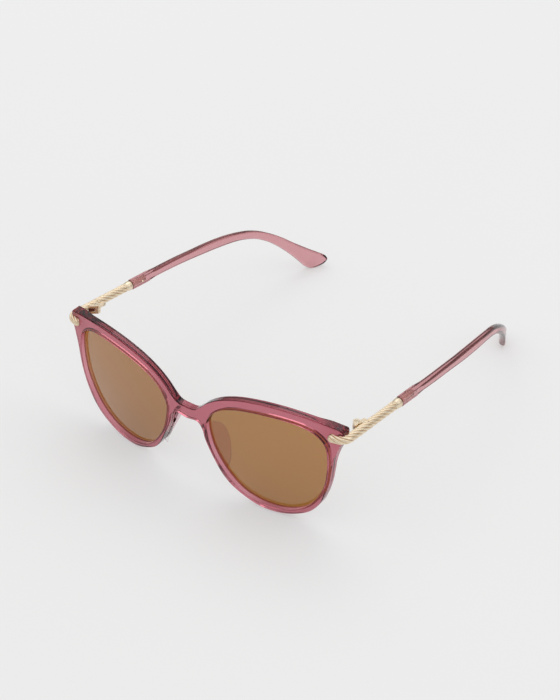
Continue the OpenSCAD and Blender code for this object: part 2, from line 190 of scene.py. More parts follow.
def curve_span(a, b, c, d, shares):
    """Points on the smooth curve between b and c, with a and d as neighbours."""
    t1 = math.sqrt(np.linalg.norm(b - a))
    t2 = t1 + math.sqrt(np.linalg.norm(c - b))
    t3 = t2 + math.sqrt(np.linalg.norm(d - c))
    t = (t1 + (t2 - t1) * shares)[:, None]
    ab = a * (1 - t / t1) + b * t / t1
    bc = b * (1 - (t - t1) / (t2 - t1)) + c * (t - t1) / (t2 - t1)
    cd = c * (1 - (t - t2) / (t3 - t2)) + d * (t - t2) / (t3 - t2)
    abc = ab * (1 - t / t2) + bc * t / t2
    bcd = bc * (1 - (t - t1) / (t3 - t1)) + cd * (t - t1) / (t3 - t1)
    share = shares[:, None]
    return abc * (1 - share) + bcd * share


def open_curve(before, points, after, steps=STEPS):
    """Smooth curve through the points, with one more point given beyond each end."""
    every = np.array([before, *points, after], float)
    shares = np.arange(steps) / steps
    spans = [curve_span(*every[i:i + 4], shares) for i in range(len(points) - 1)]
    return np.vstack([*spans, every[-2:-1]])


def closed_curve(points, steps=STEPS):
    """Smooth closed curve through the points."""
    p = np.array(points, float)
    n = len(p)
    shares = np.arange(steps) / steps
    return np.vstack([
        curve_span(p[i - 1], p[i], p[(i + 1) % n], p[(i + 2) % n], shares) for i in range(n)
    ])


def beyond(points):
    """The point one step past the last one, in the same direction."""
    return 2 * np.array(points[-1], float) - np.array(points[-2], float)


def soft_corner(points, corner, reach, steps=6):
    """A closed outline with the corner nearest to a place rounded off."""
    p = np.array(points, float)
    at = int(np.argmin(np.linalg.norm(p - np.array(corner), axis=1)))
    p = np.roll(p, -at, axis=0)
    away = np.linalg.norm(p - p[0], axis=1)
    ahead = next(i for i in range(1, len(p)) if away[i] > reach)
    behind = next(i for i in range(1, len(p)) if away[-i] > reach)
    start = p[0] + (p[-behind] - p[0]) * reach / away[-behind]
    end = p[0] + (p[ahead] - p[0]) * reach / away[ahead]
    t = np.linspace(0, 1, steps + 1)[:, None]
    arc = start * (1 - t) ** 2 + p[0] * 2 * t * (1 - t) + end * t ** 2
    return np.vstack([arc, p[ahead:len(p) - behind + 1]])


def front_outline():
    """The whole outline of the front, with its outer corners softened."""
    brow = np.array(BROW)
    cheek = np.array(CHEEK)
    half = np.vstack([
        open_curve(brow[1] * (-1, 1), brow, beyond(brow)),
        open_curve(2 * cheek[0] - cheek[1], cheek, cheek[-2] * (-1, 1)),
    ])
    whole = np.vstack([half, (half * (-1, 1))[-2:0:-1]])
    for x in (1, -1):
        whole = soft_corner(whole, brow[-1] * (x, 1), 1.2)
        whole = soft_corner(whole, cheek[0] * (x, 1), 0.9)
    return whole


def outward(points):
    """Sideways direction at each point of a closed outline, away from what it encloses."""
    after = np.roll(points, -1, axis=0)
    along = after - np.roll(points, 1, axis=0)
    area = np.sum(points[:, 0] * after[:, 1] - after[:, 0] * points[:, 1])
    sides = np.stack([along[:, 1], -along[:, 0]], axis=1) * (1 if area > 0 else -1)
    return sides / np.linalg.norm(sides, axis=1)[:, None]


def evenly(points, spacing):
    """A closed outline with points at about even distances."""
    p = np.vstack([points, points[:1]])
    along = np.concatenate([[0], np.cumsum(np.linalg.norm(np.diff(p, axis=0), axis=1))])
    places = np.linspace(0, along[-1], int(along[-1] / spacing) + 1)[:-1]
    return np.stack([np.interp(places, along, p[:, k]) for k in range(2)], axis=1)


def inside(points, loop):
    """Whether each point lies inside a closed outline."""
    x = points[:, 0][:, None]
    y = points[:, 1][:, None]
    x1, y1 = loop[:, 0], loop[:, 1]
    x2, y2 = np.roll(x1, -1), np.roll(y1, -1)
    spans = (y1 > y) != (y2 > y)
    with np.errstate(divide="ignore", invalid="ignore"):
        crossing = x1 + (y - y1) * (x2 - x1) / (y2 - y1)
    return np.sum(spans & (x < crossing), axis=1) % 2 == 1


# ---------------------------------------------------------------- mesh making

def unit(vectors):
    size = np.linalg.norm(vectors, axis=-1, keepdims=True)
    return vectors / np.maximum(size, 1e-12)


class Shape:
    """Points, faces and the normal at each face corner."""

    def __init__(self):
        self.points = []
        self.faces = []
        self.normals = []

    def ring(self, points):
        start = len(self.points)
        self.points.extend(points)
        return np.arange(start, start + len(points))

    def face(self, corners, normals):
        p = [self.points[i] for i in corners]
        area = sum(np.cross(p[i] - p[0], p[i + 1] - p[0]) for i in range(1, len(p) - 1))
        if np.dot(area, sum(normals)) < 0:
            corners = corners[::-1]
            normals = normals[::-1]
        self.faces.append([int(i) for i in corners])
        self.normals.extend(normals)

    def strip(self, a, b, normals_a, normals_b):
        for i in range(len(a)):
            j = (i + 1) % len(a)
            self.face([a[i], a[j], b[j], b[i]],
                      [normals_a[i], normals_a[j], normals_b[j], normals_b[i]])


class Sheet:
    """A thick sheet laid out in two flat directions: place(u, v, depth) gives its points."""

    def __init__(self, place, thickness):
        self.place = place
        self.thickness = thickness

    def at(self, uv, depth):
        return self.place(uv[:, 0], uv[:, 1], depth)

    def face_normals(self, uv, depth):
        e = 0.01
        du = self.at(uv + (e, 0), depth) - self.at(uv - (e, 0), depth)
        dv = self.at(uv + (0, e), depth) - self.at(uv - (0, e), depth)
        n = unit(np.cross(du, dv))
        out = self.at(uv, depth) - self.at(uv, depth + e)
        return n * np.sign(np.sum(n * out, axis=1))[:, None]

    def wall_normals(self, uv, side, depth):
        e = 0.01
        tangent = np.stack([-side[:, 1], side[:, 0]], axis=1)
        along = self.at(uv + e * tangent, depth) - self.at(uv - e * tangent, depth)
        down = self.at(uv, depth + e) - self.at(uv, depth - e)
        n = unit(np.cross(along, down))
        out = self.at(uv + e * side, depth) - self.at(uv - e * side, depth)
        return n * np.sign(np.sum(n * out, axis=1))[:, None]


def edge_profile(near, far, groove=None, steps=4):
    """Stations across the edge of a sheet, as (inset, share of thickness, depth, mix of normals).
    A mix is the weights of the near face's, the far face's and the wall's normal."""
    turns = [math.pi / 2 * i / steps for i in range(steps + 1)]
    start = [(near * (1 - math.sin(a)), 0, near * (1 - math.cos(a)), (math.cos(a), 0, math.sin(a)))
             for a in turns]
    end = [(far * (1 - math.sin(a)), 1, -far * (1 - math.cos(a)), (0, math.cos(a), math.sin(a)))
           for a in reversed(turns)]
    if groove is None:
        return [start + end]
    top, bottom, reach = groove
    wall = (0, 0, 1)
    return [
        start + [(0, 0, top, wall)],
        [(0, 0, top, (-1, 0, 0)), (reach, 0, top, (-1, 0, 0))],
        [(reach, 0, top, wall), (reach, 0, bottom, wall)],
        [(reach, 0, bottom, (1, 0, 0)), (0, 0, bottom, (1, 0, 0))],
        [(0, 0, bottom, wall)] + end,
    ]


def sheet_edge(shape, sheet, loop, side, profile, ease=None):
    """The edge of a sheet along one outline. Returns its near and far rings.
    The rounding can be eased from point to point of the outline."""
    scale = np.ones(len(loop)) if ease is None else ease(loop)
    rings = {}
    for segment in profile:
        made = []
        for inset, share, depth, blend in segment:
            uv = loop - (inset * scale)[:, None] * side
            d = share * sheet.thickness(uv) + depth * scale
            key = (round(inset, 5), share, round(depth, 5))
            if key not in rings:
                rings[key] = (shape.ring(sheet.at(uv, d)), uv)
            near = sheet.face_normals(uv, 0 * d)
            far = -sheet.face_normals(uv, sheet.thickness(uv))
            wall = sheet.wall_normals(uv, side, d)
            made.append((rings[key][0], unit(blend[0] * near + blend[1] * far + blend[2] * wall)))
        for (a, na), (b, nb) in zip(made, made[1:]):
            shape.strip(a, b, na, nb)
    keys = list(rings)
    return rings[keys[0]], rings[keys[-1]]


def grid_inside(outer, holes, spacing, extra=None):
    """Points of a staggered grid inside an outline, clear of all the edges."""
    low = outer.min(axis=0)
    high = outer.max(axis=0)
    rows = np.arange(low[1] + spacing / 3, high[1], spacing * 0.866)
    points = []
    for i, y in enumerate(rows):
        x = np.arange(low[0] + (i % 2) * spacing / 2, high[0], spacing)
        points.append(np.stack([x, np.full(len(x), y)], axis=1))
    p = np.vstack(points if extra is None else [*points, extra])
    keep = inside(p, outer)
    for hole in holes:
        keep &= ~inside(p, hole)
    p = p[keep]
    edges = np.vstack([outer, *holes])
    gap = np.min(np.linalg.norm(p[:, None, :] - edges[None, :, :], axis=2), axis=1)
    return p[gap > min(0.6 * spacing, 1.2)]


def sheet_face(shape, sheet, rings, spacing, far, extra=None):
    """Fills the near or the far face of a sheet between its rings."""
    loops = [uv for _, uv in rings]
    inner = grid_inside(loops[0], loops[1:], spacing, extra)
    flat = np.vstack([*loops, inner])
    depth = sheet.thickness(inner) if far else np.zeros(len(inner))
    index = np.concatenate([*[ids for ids, _ in rings], shape.ring(sheet.at(inner, depth))])
    edges = []
    start = 0
    for loop in loops:
        n = len(loop)
        edges.extend((start + i, start + (i + 1) % n) for i in range(n))
        start += n
    verts, _, triangles, origin, _, _ = delaunay_2d_cdt(
        [Vector(p) for p in flat], edges, [], 0, 1e-7)
    back = [o[0] for o in origin]
    middle = np.array([[sum(verts[i][k] for i in t) / 3 for k in range(2)] for t in triangles])
    keep = inside(middle, loops[0])
    for hole in loops[1:]:
        keep &= ~inside(middle, hole)
    level = sheet.thickness(flat) if far else np.zeros(len(flat))
    normals = sheet.face_normals(flat, level) * (-1 if far else 1)
    for t, kept in zip(triangles, keep):
        if kept:
            corners = [back[i] for i in t]
            shape.face([index[i] for i in corners], [normals[i] for i in corners])


def sheet_shape(sheet, outer, holes, outer_edge, hole_edge, spacing, extra=None, ease=None):
    """A closed thick sheet with rounded edges and openings."""
    shape = Shape()
    rings = [sheet_edge(shape, sheet, outer, outward(outer), outer_edge, ease)]
    for hole in holes:
        rings.append(sheet_edge(shape, sheet, hole, -outward(hole), hole_edge))
    sheet_face(shape, sheet, [near for near, _ in rings], spacing, False, extra)
    sheet_face(shape, sheet, [far for _, far in rings], spacing, True, extra)
    return shape


def make_piece(name, node, points, faces, material, hand, normals=None, sharp=40):
    """A mesh object that stands for a CAD node and rides on its body."""
    p = np.array(points, float) * (hand, 1, 1) * MM
    if hand < 0:
        faces = [f[::-1] for f in faces]
    mesh = bpy.data.meshes.new(name)
    mesh.from_pydata([tuple(q) for q in p], [], faces)
    mesh.update()
    piece = bpy.data.objects.new(name, mesh)
    bpy.context.scene.collection.objects.link(piece)
    mesh.shade_smooth()
    if normals is None:
        mesh.set_sharp_from_angle(angle=math.radians(sharp))
    else:
        n = np.array(normals) * (hand, 1, 1)
        if hand < 0:
            n = mirrored_corners(n, faces)
        mesh.normals_split_custom_set([tuple(q) for q in n])
    mesh.materials.append(material)
    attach(piece, BODY_OF[node])
    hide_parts(node)
    return piece


def mirrored_corners(normals, faces):
    """Corner normals in the order of faces that were turned round."""
    order = []
    start = 0
    for face in faces:
        order.extend(range(start + len(face) - 1, start - 1, -1))
        start += len(face)
    return normals[order]


def add_shape(name, node, shape, material, hand):
    return make_piece(name, node, shape.points, shape.faces, material, hand,
                      normals=shape.normals)


# ---------------------------------------------------------------- places

def face_y(x, z, depth):
    """Place of the bent front at a place across and up, below its face by a depth."""
    return SHELL_Y - np.sqrt((BASE_RADIUS - depth) ** 2 - x ** 2 - (z - SHELL_Z) ** 2)


def on_front(depth):
    """Lays a sheet into the bent front, its near face at a depth."""
    def place(u, v, d):
        return np.stack([u, face_y(u, v, depth + d), v + 0 * d], axis=1)
    return place


def smooth_step(x):
    t = np.clip(x, 0, 1)
    return t * t * (3 - 2 * t)


def front_depth(uv):
    """Thickness of the front, more at the two upper corners."""
    corner = smooth_step((np.abs(uv[:, 0]) - 56.5) / 7) * smooth_step((uv[:, 1] - 41.5) / 4.5)
    return FRONT_THICKNESS + (CORNER_THICKNESS - FRONT_THICKNESS) * corner


def even(thickness):
    return lambda uv: np.full(len(uv), float(thickness))


def hinge_matrix():
    """The left hinge's own frame: origin on the pin, +Y along the temple, +Z up the pin."""
    return Matrix.Translation(HINGE) @ Matrix.Rotation(math.radians(-DROOP), 4, "X")


def moved(matrix, points):
    m = np.array(matrix)
    return np.array(points, float) @ m[:3, :3].T + m[:3, 3]


def trim_path():
    """Turning angle, corner and leg lengths of the trim's path in the hinge's frame."""
    angle = math.asin(HINGE[0] / BASE_RADIUS)
    across = HINGE[0]
    proud = face_y(across, HINGE[2] + 1.7, TRIM_SINK)
    slant = math.radians(DROOP)
    corner_y = (proud - HINGE[1]) / math.cos(slant) + TRIM_BEND * math.cos(angle)
    corner_y += (ROPE_X - TRIM_BEND + TRIM_BEND * math.sin(angle)) * math.tan(angle)
    straight = ROPE_X - TRIM_BEND + TRIM_BEND * math.sin(angle) + TRIM_REACH + END_ROUND
    leg_in = straight / math.cos(angle)
    turn = TRIM_BEND * (math.pi / 2 - angle)
    leg_out = JOINT_OFFSET - corner_y
    return angle, corner_y, leg_in, turn, leg_out


def trim_at(d):
    """Place and heading on the trim's path at a distance along it, from the face end."""
    angle, corner_y, leg_in, turn, _ = trim_path()
    bend_x = ROPE_X - TRIM_BEND
    if d < leg_in:
        x = bend_x + TRIM_BEND * math.sin(angle) - (leg_in - d) * math.cos(angle)
        y = corner_y - TRIM_BEND * math.cos(angle) - (leg_in - d) * math.sin(angle)
        return x, y, angle
    if d < leg_in + turn:
        heading = angle + (d - leg_in) / TRIM_BEND
        return (bend_x + TRIM_BEND * math.sin(heading), corner_y - TRIM_BEND * math.cos(heading),
                heading)
    return ROPE_X, corner_y + d - leg_in - turn, math.pi / 2


# ---------------------------------------------------------------- rope

STRAND_POINTS = 12


def rope_ring(place, turns, share):
    """One ring of the twisted rope, and how deep in a groove each of its points lies."""
    n = STRAND_POINTS * ROPE_STRANDS
    k = np.arange(n)
    turn = 2 * math.pi * (k / n + turns)
    part = (k % STRAND_POINTS) / STRAND_POINTS
    sunk = (1 - np.sin(math.pi * part)) ** 2
    r = (ROPE_RADIUS - ROPE_GROOVE * sunk) * share
    x, y, heading = place
    points = np.stack([x + r * np.cos(turn) * math.sin(heading),
                       y - r * np.cos(turn) * math.cos(heading), r * np.sin(turn)], axis=1)
    return points, sunk


def rope_mesh(hand, places, distances, shares):
    """Points, faces and groove depths of a rope bar, closed at both ends. Both sides are twisted
    the same way, so the hand turns the twist back."""
    points = []
    grooves = []
    for place, d, share in zip(places, distances, shares):
        ring, sunk = rope_ring(place, -hand * d / ROPE_LAY, share)
        points.extend(ring)
        grooves.extend(sunk)
    n = STRAND_POINTS * ROPE_STRANDS
    faces = []
    for i in range(len(places) - 1):
        for k in range(n):
            a = i * n + k
            b = i * n + (k + 1) % n
            faces.append([a, b, b + n, a + n])
    last = (len(places) - 1) * n
    for centre, start, turned in ((places[0], 0, True), (places[-1], last, False)):
        middle = len(points)
        points.append(np.array([centre[0], centre[1], 0]))
        grooves.append(0.5)
        for k in range(n):
            corners = [start + k, start + (k + 1) % n, middle]
            faces.append(corners[::-1] if turned else corners)
    return np.array(points), faces, grooves


def make_room(points, low, high, clearance):
    """Cuts the rope flat where the hinge's lug lies on it, and hollows it around the knuckles."""
    p = points.copy()
    flat = (p[:, 1] > low) & (p[:, 1] < high) & (p[:, 0] < FLAT_X)
    p[flat, 0] = FLAT_X
    away = np.linalg.norm(p[:, :2], axis=1)
    close = (away < clearance) & (p[:, 1] > low)
    p[close, :2] *= (clearance / away[close])[:, None]
    return p


def add_grooves(piece, grooves):
    """Keeps the groove depth of each point, which the rope material uses for painted shade between
    the strands.
    """
    layer = piece.data.attributes.new("groove", "FLOAT", "POINT")
    layer.data.foreach_set("value", np.array(grooves, np.float32))


def add_trim(hand, side, material):
    """The rope over a corner of the front: a domed end on the face, a flat one behind the pin."""
    _, _, leg_in, turn, leg_out = trim_path()
    length = leg_in + turn + leg_out
    dome = [END_ROUND * (1 - math.cos(math.pi / 2 * i / 12)) for i in range(1, 12)]
    rest = list(np.linspace(END_ROUND, length - CUT_END_LENGTH, 105))
    distances = dome + rest + [length]
    shares = [math.sqrt(1 - (1 - min(d / END_ROUND, 1)) ** 2) for d in distances]
    shares[-1] = CUT_END_SHARE
    points, faces, grooves = rope_mesh(hand, [trim_at(d) for d in distances], distances, shares)
    points = make_room(points, -LUG_LENGTH - 0.1, JOINT_OFFSET + 1, KNUCKLE_RADIUS + 0.12)
    node = "corner_trim_" + side
    piece = make_piece("trim_" + side, node, moved(hinge_matrix(), points), faces, material,
                       hand, sharp=50)
    add_grooves(piece, grooves)


def add_arm(hand, side, material):
    """The straight rope of the temple, which carries the trim's line on."""
    start = JOINT_OFFSET + JOINT_GAP
    twisted = ARM_LENGTH - start + 0.4
    distances = [0, *np.linspace(CUT_END_LENGTH, twisted, 95)]
    shares = [CUT_END_SHARE] + [1] * 95
    places = [(ROPE_X, start + d, math.pi / 2) for d in distances]
    points, faces, grooves = rope_mesh(hand, places, distances, shares)
    node = "rope_arm_" + side
    piece = make_piece("arm_" + side, node, moved(hinge_matrix(), points), faces, material,
                       hand, sharp=50)
    add_grooves(piece, grooves)


# ---------------------------------------------------------------- turned and flat metal pieces

def turned(profile, sides=64):
    """Points and faces of a closed turned piece. The profile is (radius, height), from the axis
    at the bottom round to the axis at the top."""
    points = []
    rings = []
    for r, h in profile:
        if r < 1e-6:
            rings.append([len(points)])
            points.append((0, 0, h))
        else:
            rings.append(list(range(len(points), len(points) + sides)))
            turns = [2 * math.pi * k / sides for k in range(sides)]
            points.extend((r * math.cos(t), r * math.sin(t), h) for t in turns)
    faces = []
    for a, b in zip(rings, rings[1:]):
        for k in range(sides):
            j = (k + 1) % sides
            if len(a) == 1:
                faces.append([a[0], b[j], b[k]])
            elif len(b) == 1:
                faces.append([a[k], a[j], b[0]])
            else:
                faces.append([a[k], a[j], b[j], b[k]])
    return points, faces


def frame_of(origin, axis_from_z):
    """The frame of a turned piece at a place in the hinge's frame."""
    return hinge_matrix() @ Matrix.Translation(origin) @ axis_from_z


def add_turned(name, node, profile, matrix, material, hand, sharp=30):
    points, faces = turned(profile)
    return make_piece(name, node, moved(matrix, points), faces, material, hand,
                      sharp=sharp)


def plate(matrix, thickness, outline, holes=(), edge=0.14, hole_edge=0.08):
    """A flat plate with rounded edges, drawn in its own frame, its near face at height 0."""
    def place(u, v, d):
        return moved(matrix, np.stack([u, v, -d + 0 * u], axis=1))
    sheet = Sheet(place, even(thickness))
    return sheet_shape(sheet, np.array(outline, float), [np.array(h, float) for h in holes],
                       edge_profile(edge, edge, steps=3),
                       edge_profile(hole_edge, hole_edge, steps=2), 1.2)


def arc(radius, start, end, steps=28):
    turns = [math.radians(start + (end - start) * i / steps) for i in range(steps + 1)]
    return [(radius * math.cos(t), radius * math.sin(t)) for t in turns]


def circle(radius, steps=48):
    return arc(radius, 0, 360, steps)[:-1]


def joined(target, other):
    """Adds the faces of one shape to another."""
    shift = len(target.points)
    target.points.extend(other.points)
    target.faces.extend([[i + shift for i in f] for f in other.faces])
    target.normals.extend(other.normals)


def lug_outline():
    """An outer knuckle with the lug that tapers forwards along the flat of the trim."""
    r = KNUCKLE_RADIUS
    right = FLAT_X - LUG_GAP
    meet = -math.degrees(math.acos(right / r))
    lug = [(right - LUG_TIP, -LUG_LENGTH), (right, -LUG_LENGTH), (right, -3)]
    return arc(r, meet, 205, 44) + lug


def web_outline():
    """The part of the lug between the two outer knuckles, clear of the middle one."""
    clear = KNUCKLE_RADIUS + 0.2
    right = FLAT_X - LUG_GAP
    low = -math.degrees(math.acos(right / clear))
    return [(right, -LUG_LENGTH)] + arc(clear, low, -100, 12) + [(right - LUG_TIP, -LUG_LENGTH)]


def tongue_outline():
    """The middle knuckle with the tongue that is let into the end of the rope arm."""
    r = KNUCKLE_RADIUS
    right = FLAT_X - 0.3
    left = right - TONGUE_WIDTH
    start = 180 - math.degrees(math.acos(-left / r))
    end = 360 + math.degrees(math.acos(right / r))
    step = JOINT_OFFSET + JOINT_GAP + 0.2
    reach = ROPE_X - ROPE_RADIUS + TONGUE_DEPTH
    tongue = [(right, 2.4), (right, step), (reach, step), (reach, step + TONGUE_LENGTH),
              (left, step + TONGUE_LENGTH), (left, 3)]
    return arc(r, start, end, 40) + tongue


def add_front_hinge(hand, side, material, painted_shade):
    """Two outer knuckles with their lugs, and the web between them in a darker metal that paints
    the shade there.
    """
    outer = (HINGE_HEIGHT - MIDDLE_HEIGHT) / 2 - KNUCKLE_GAP
    base = hinge_matrix()
    top = base @ Matrix.Translation((0, 0, HINGE_HEIGHT / 2))
    bottom = base @ Matrix.Translation((0, 0, -HINGE_HEIGHT / 2 + outer))
    middle = base @ Matrix.Translation((0, 0, HINGE_HEIGHT / 2 - outer + 0.1))
    shape = plate(top, outer, lug_outline(), [circle(HEAD_RADIUS + 0.04)])
    joined(shape, plate(bottom, outer, lug_outline(), [circle(SCREW_RADIUS + 0.03)]))
    add_shape("hinge_front_" + side, "front_hinge_" + side, shape, material, hand)
    web = plate(middle, HINGE_HEIGHT - 2 * outer + 0.2, web_outline(), edge=0.05)
    add_shape("hinge_web_" + side, "front_hinge_" + side, web, painted_shade, hand)


def add_temple_hinge(hand, side, material):
    top = hinge_matrix() @ Matrix.Translation((0, 0, MIDDLE_HEIGHT / 2))
    shape = plate(top, MIDDLE_HEIGHT, tongue_outline(), [circle(SCREW_RADIUS + 0.04)])
    add_shape("hinge_temple_" + side, "temple_hinge_" + side, shape, material, hand)


def slotted_head(matrix, radius, height, slot_width, slot_depth):
    """Two half discs on a thin disc, with a driver slot between them. Its top is at height 0."""
    low = matrix @ Matrix.Translation((0, 0, -slot_depth))
    shape = plate(low, height - slot_depth, circle(radius), edge=0.04)
    half = math.degrees(math.asin(slot_width / 2 / radius))
    for start in (half, 180 + half):
        segment = arc(radius, start, start + 180 - 2 * half, 20)
        joined(shape, plate(matrix, slot_depth + 0.03, segment, edge=0.05))
    return shape


def add_hinge_screw(hand, side, material):
    top = hinge_matrix() @ Matrix.Translation((0, 0, HINGE_HEIGHT / 2 + 0.02))
    shape = slotted_head(top, HEAD_RADIUS, HEAD_HEIGHT, SLOT_WIDTH, SLOT_DEPTH)
    shank = hinge_matrix() @ Matrix.Translation((0, 0, HINGE_HEIGHT / 2 - HEAD_HEIGHT + 0.05))
    joined(shape, plate(shank, HINGE_HEIGHT - HEAD_HEIGHT + 0.05, circle(SCREW_RADIUS), edge=0.1))
    add_shape("screw_" + side, "hinge_screw_" + side, shape, material, hand)


def add_trim_screw(hand, side, material):
    """The screw that holds the trim, with its head on the back of the front."""
    seat = face_y(HINGE[0], HINGE[2] + 1.5, CORNER_THICKNESS) - HINGE[1]
    top = frame_of((TRIM_SCREW_X, seat, 0), FACE_ALONG)
    shape = slotted_head(top, TRIM_HEAD_RADIUS, TRIM_HEAD_HEIGHT, SLOT_WIDTH, TRIM_SLOT_DEPTH)
    shank = frame_of((TRIM_SCREW_X, seat - 0.5, 0), FACE_ALONG)
    joined(shape, plate(shank, TRIM_SCREW_LENGTH, circle(TRIM_SCREW_RADIUS), edge=0.1))
    add_shape("back_screw_" + side, "trim_screw_" + side, shape, material, hand)


def add_ferrule(hand, side, material):
    """The flared ferrule behind the rope, on the same axis: a bead, a neck and the flare."""
    r = FERRULE_RADIUS
    neck = FERRULE_NECK
    end = FERRULE_LENGTH
    profile = [(0, 0.05), (1.5, 0.05), (1.8, 0.05), (1.88, 0.12), (1.9, 0.25), (1.86, 0.5),
               (neck, 0.8)]
    profile += [(neck + (r - neck) * smooth_step((h - 0.8) / 2.4), h)
                for h in np.linspace(1, 3.2, 9)]
    profile += [(r, 3.5), (r, end - 0.18), (r - 0.05, end - 0.06), (r - 0.16, end), (1.2, end),
                (0, end)]
    matrix = frame_of((ROPE_X, ARM_LENGTH, 0), FACE_ALONG)
    add_turned("ferrule_" + side, "rope_arm_" + side, profile, matrix, material, hand)


def add_tang(hand, side, material):
    """The rod that goes from the ferrule into the sleeve."""
    r = TANG_RADIUS
    end = TANG_LENGTH
    profile = [(0, -0.06), (r, -0.06), (r, 0.5), (r, end - 0.4), (r - 0.12, end - 0.12),
               (r - 0.4, end), (0, end)]
    matrix = frame_of((ROPE_X, ARM_LENGTH + FERRULE_LENGTH, 0), FACE_ALONG)
    add_turned("tang_" + side, "rope_arm_" + side, profile, matrix, material, hand)


def add_shade_ring(hand, side, material):
    """A darker ring over the ferrule's end that paints the shade at the mouth of the sleeve."""
    r = FERRULE_RADIUS + 0.01
    profile = [(0, SHADE_RING_BACK), (r - 0.03, SHADE_RING_BACK), (r, -0.42), (r, 0.06),
               (r - 0.08, SHADE_RING_FRONT), (0, SHADE_RING_FRONT)]
    matrix = frame_of((ROPE_X, ARM_LENGTH + FERRULE_LENGTH, 0), FACE_ALONG)
    add_turned("shade_ring_" + side, "rope_arm_" + side, profile, matrix, material, hand)


def add_tang_pin(hand, side, material):
    """The pin across the sleeve and the tang."""
    start = SLEEVE_WIDTH / 2 + 0.1
    length = start + 0.9
    r = PIN_RADIUS
    profile = [(0, -0.03), (r * 0.5, -0.02), (r * 0.85, 0.02), (r, 0.12), (r, length - 0.1),
               (r - 0.1, length), (0, length)]
    matrix = frame_of((ROPE_X - start, SLEEVE_START + PIN_AT, 0), FACE_ACROSS)
    add_turned("cross_pin_" + side, "tang_pin_" + side, profile, matrix, material,
               hand)


# ---------------------------------------------------------------- plastic pieces and lenses

def add_front(material):
    """The front, with the lens groove cut into the edge of each opening."""
    outline = front_outline()
    opening = closed_curve(OPENING)
    holes = [opening, opening * (-1, 1)]
    groove = (LENS_DEPTH - LENS_GAP, LENS_DEPTH + LENS_THICKNESS + LENS_GAP, LENS_SEAT)
    sheet = Sheet(on_front(0), front_depth)
    shape = sheet_shape(sheet, outline, holes, edge_profile(0.55, 0.5),
                        edge_profile(0.3, 0.25, groove), 2.2)
    add_shape("front", "frame_front", shape, material, 1)


def add_lens(hand, side, material):
    opening = closed_curve(OPENING)
    outline = opening + (LENS_SEAT - LENS_GAP) * outward(opening)
    sheet = Sheet(on_front(LENS_DEPTH), even(LENS_THICKNESS))
    shape = sheet_shape(sheet, outline, [], edge_profile(0.15, 0.15, steps=3), None, 2.5)
    add_shape("tinted_lens_" + side, "lens_" + side, shape, material, hand)


def pad_place(u, v, d):
    """A point of the pad: u behind the front, v along the rim, d through its thickness."""
    bowl = PAD_BOWL * (v - 0.8) ** 2 * np.clip(u / PAD_DEPTH, 0, 1)
    x = PAD_THICKNESS / 2 - d + bowl
    splayed_x = x * math.cos(PAD_SPLAY) + u * math.sin(PAD_SPLAY)
    splayed_y = -x * math.sin(PAD_SPLAY) + u * math.cos(PAD_SPLAY)
    across = splayed_x * math.cos(PAD_SLANT) - v * math.sin(PAD_SLANT)
    up = splayed_x * math.sin(PAD_SLANT) + v * math.cos(PAD_SLANT)
    mx, mz = PAD_MIDDLE
    my = face_y(mx, mz, FRONT_THICKNESS)
    back = face_y(mx + across, mz + up, FRONT_THICKNESS + PAD_SEAT)
    return np.stack([mx + across, np.maximum(my + splayed_y, back), mz + up], axis=1)


def pad_thickness(uv):
    return PAD_THICKNESS * (1 - 0.25 * smooth_step(uv[:, 0] / PAD_DEPTH))


def add_pad(hand, side, material):
    """A nose pad. The rounding of its edge fades out where it meets the back of the front."""
    points = np.array(PAD) * (PAD_DEPTH, 1)
    curve = open_curve(2 * points[0] - points[1], points, beyond(points))
    outline = evenly(curve, 0.55)
    sheet = Sheet(pad_place, pad_thickness)
    shape = sheet_shape(sheet, outline, [], edge_profile(0.65, 0.65, steps=6), None, 1.4,
                        ease=lambda loop: np.clip(loop[:, 0] / 2, 0.1, 1))
    add_shape("pad_" + side, "nose_pad_" + side, shape, material, hand)


def ribbon_line():
    """Line of the temple seen from above, as places behind the bridge and across."""
    points = np.array(RIBBON)
    line = open_curve(2 * points[0] - points[1], points, beyond(points), 16)
    return line[:, 1], line[:, 0]


RIBBON_Y, RIBBON_X = ribbon_line()


def along_temple(u, v):
    """Distance behind the hinge pin along the temple."""
    slant = math.radians(DROOP)
    return (u + BRIDGE_Y - HINGE[1]) * math.cos(slant) - (v - HINGE[2]) * math.sin(slant)


def temple_half(u, v):
    """Half of the temple's thickness: the sleeve is thicker than the rest."""
    share = smooth_step((along_temple(u, v) - SLEEVE_START - SLEEVE_LENGTH) / 0.35)
    return SLEEVE_WIDTH / 2 + (TEMPLE_THICKNESS - SLEEVE_WIDTH) / 2 * share


def temple_place(u, v, d):
    """A point of the temple: u behind the bridge, v up, d below its outer side."""
    x = np.interp(u, RIBBON_Y, RIBBON_X)
    slope = np.interp(u + 0.5, RIBBON_Y, RIBBON_X) - np.interp(u - 0.5, RIBBON_Y, RIBBON_X)
    size = np.sqrt(1 + slope ** 2)
    out = temple_half(u, v) - d
    return np.stack([x + out * size, BRIDGE_Y + u, v + 0 * u], axis=1)


